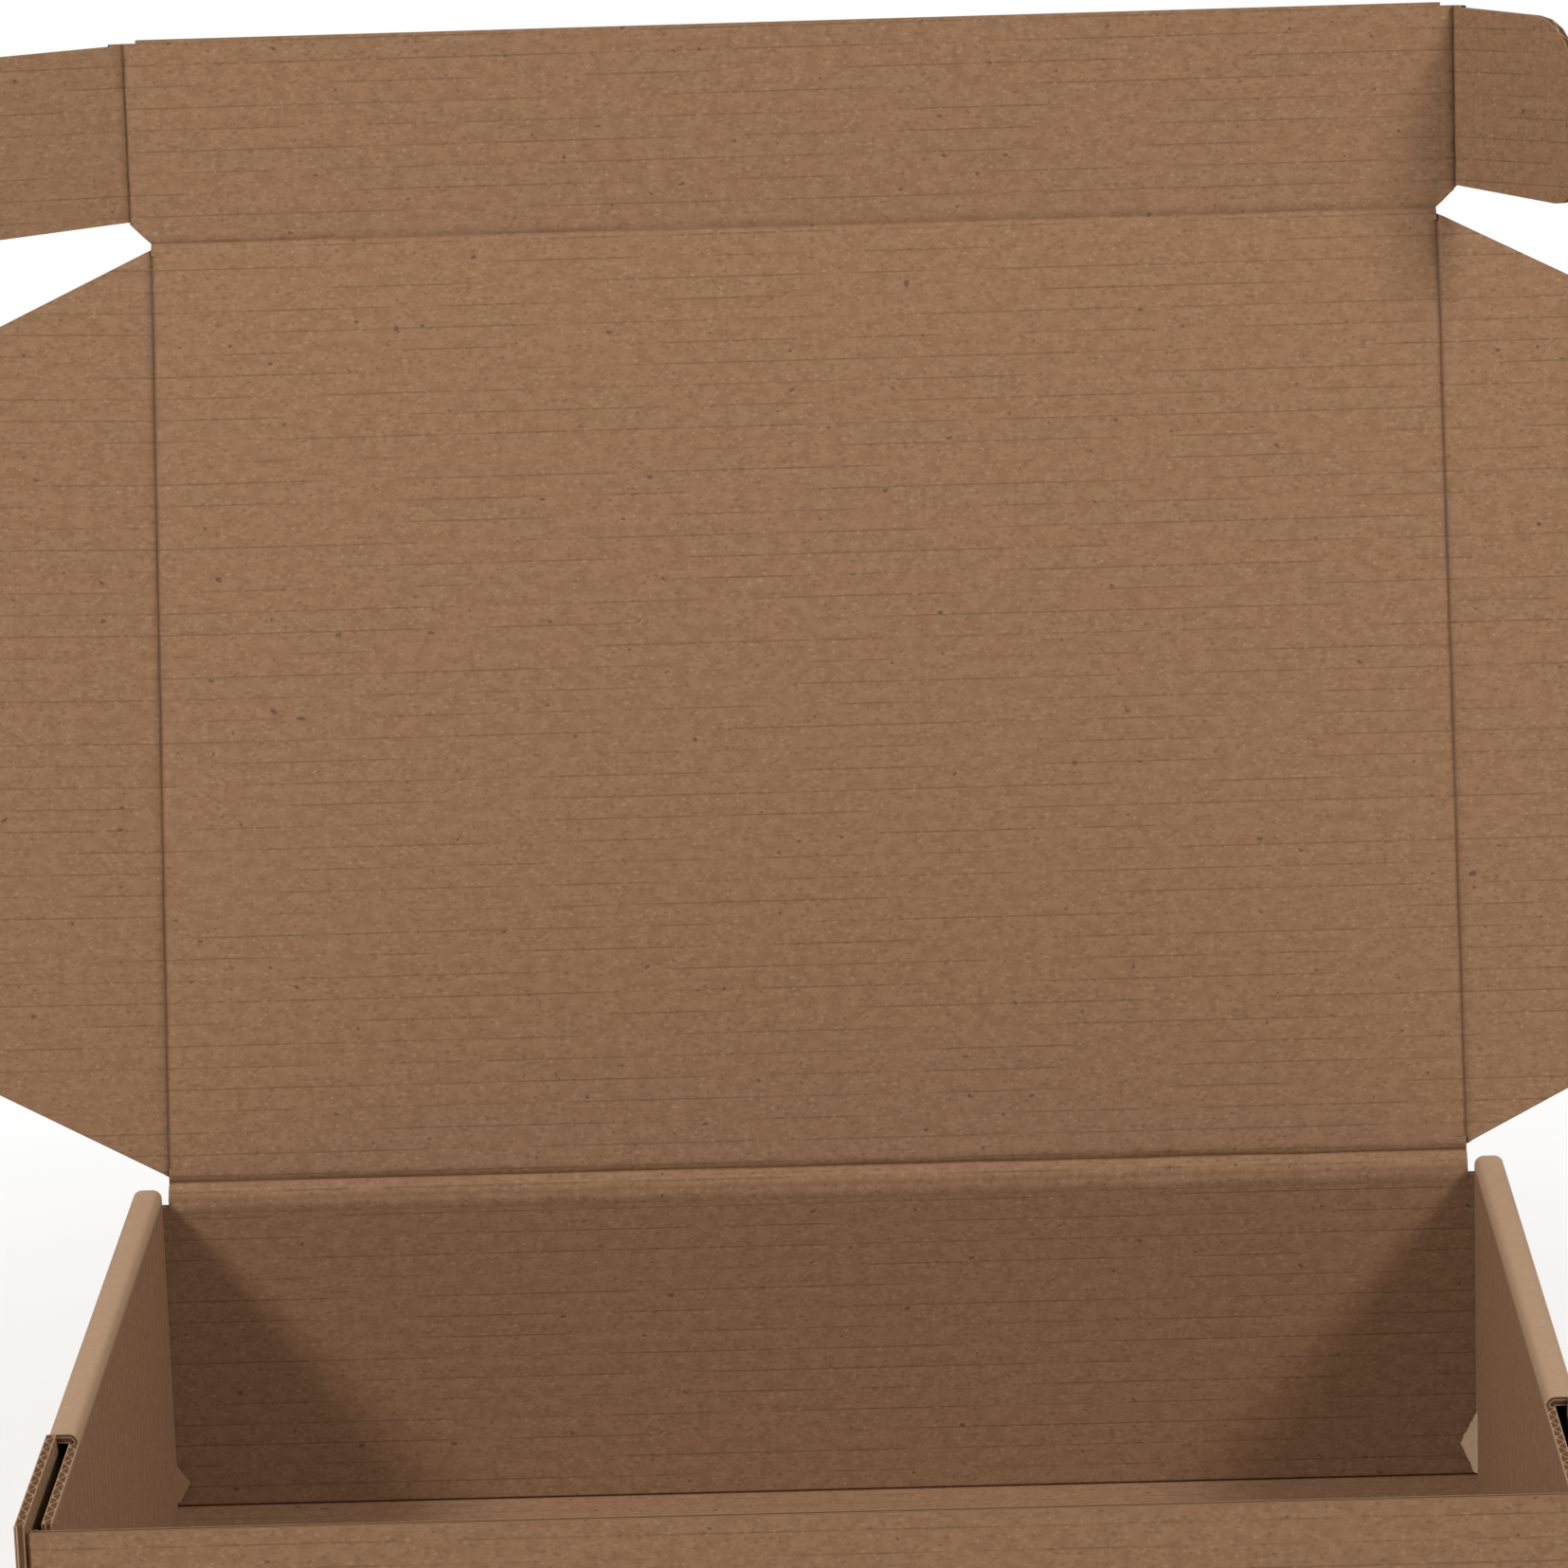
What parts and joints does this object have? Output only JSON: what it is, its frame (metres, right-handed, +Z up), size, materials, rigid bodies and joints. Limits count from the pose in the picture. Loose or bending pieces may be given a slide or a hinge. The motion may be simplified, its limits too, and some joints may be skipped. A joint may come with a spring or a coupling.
{
  "type": "corrugated mailing box",
  "caption": "Open corrugated mailing box: shallow tray with rolled double side walls and a fold-up lid that has side flaps, a tuck flap and ears.",
  "frame": {"origin": "centre of the tray's underside", "axes": "+X to the viewer's right along the lid's hinge, +Y from the front wall to the hinge, +Z up"},
  "size_m": [0.528, 0.3793, 0.4251],
  "materials": {
    "kraft_board": "uncoated brown kraft liner"
  },
  "bodies": {
    "tray": {"tray": "kraft_board"},
    "hinge_band": {"hinge_band": "kraft_board"},
    "lid_panel": {"lid_panel": "kraft_board"},
    "left_lid_flap": {"left_lid_flap": "kraft_board"},
    "right_lid_flap": {"right_lid_flap": "kraft_board"},
    "tuck_flap": {"tuck_flap": "kraft_board"},
    "left_tuck_ear": {"left_tuck_ear": "kraft_board"},
    "right_tuck_ear": {"right_tuck_ear": "kraft_board"}
  },
  "joints": [
    {"name": "back_crease", "type": "hinge", "parent": "tray", "child": "hinge_band", "pos_m": [0, 0.1413, 0.097], "axis": [1, 0, 0], "range_deg": [-43, 47]},
    {"name": "lid_crease", "type": "hinge", "parent": "hinge_band", "child": "lid_panel", "pos_m": [0, 0.14554, 0.10096], "axis": [1, 0, 0], "range_deg": [-29.2, 60.8]},
    {"name": "tuck_crease", "type": "hinge", "parent": "lid_panel", "child": "tuck_flap", "pos_m": [0, 0.23037, 0.36517], "axis": [1, 0, 0], "range_deg": [-13, 77]},
    {"name": "left_flap_crease", "type": "hinge", "parent": "lid_panel", "child": "left_lid_flap", "pos_m": [-0.1897, 0.18796, 0.23306], "axis": [0, 0.3057, 0.9521], "range_deg": [-12, 78]},
    {"name": "right_flap_crease", "type": "hinge", "parent": "lid_panel", "child": "right_lid_flap", "pos_m": [0.1897, 0.18796, 0.23306], "axis": [0, -0.3057, -0.9521], "range_deg": [0, 90]},
    {"name": "left_ear_crease", "type": "hinge", "parent": "tuck_flap", "child": "left_tuck_ear", "pos_m": [-0.1957, 0.23288, 0.39507], "axis": [0, 0.0837, 0.9965], "range_deg": [-20, 70]},
    {"name": "right_ear_crease", "type": "hinge", "parent": "tuck_flap", "child": "right_tuck_ear", "pos_m": [0.1957, 0.23288, 0.39507], "axis": [0, -0.0837, -0.9965], "range_deg": [-55, 35]}
  ]
}
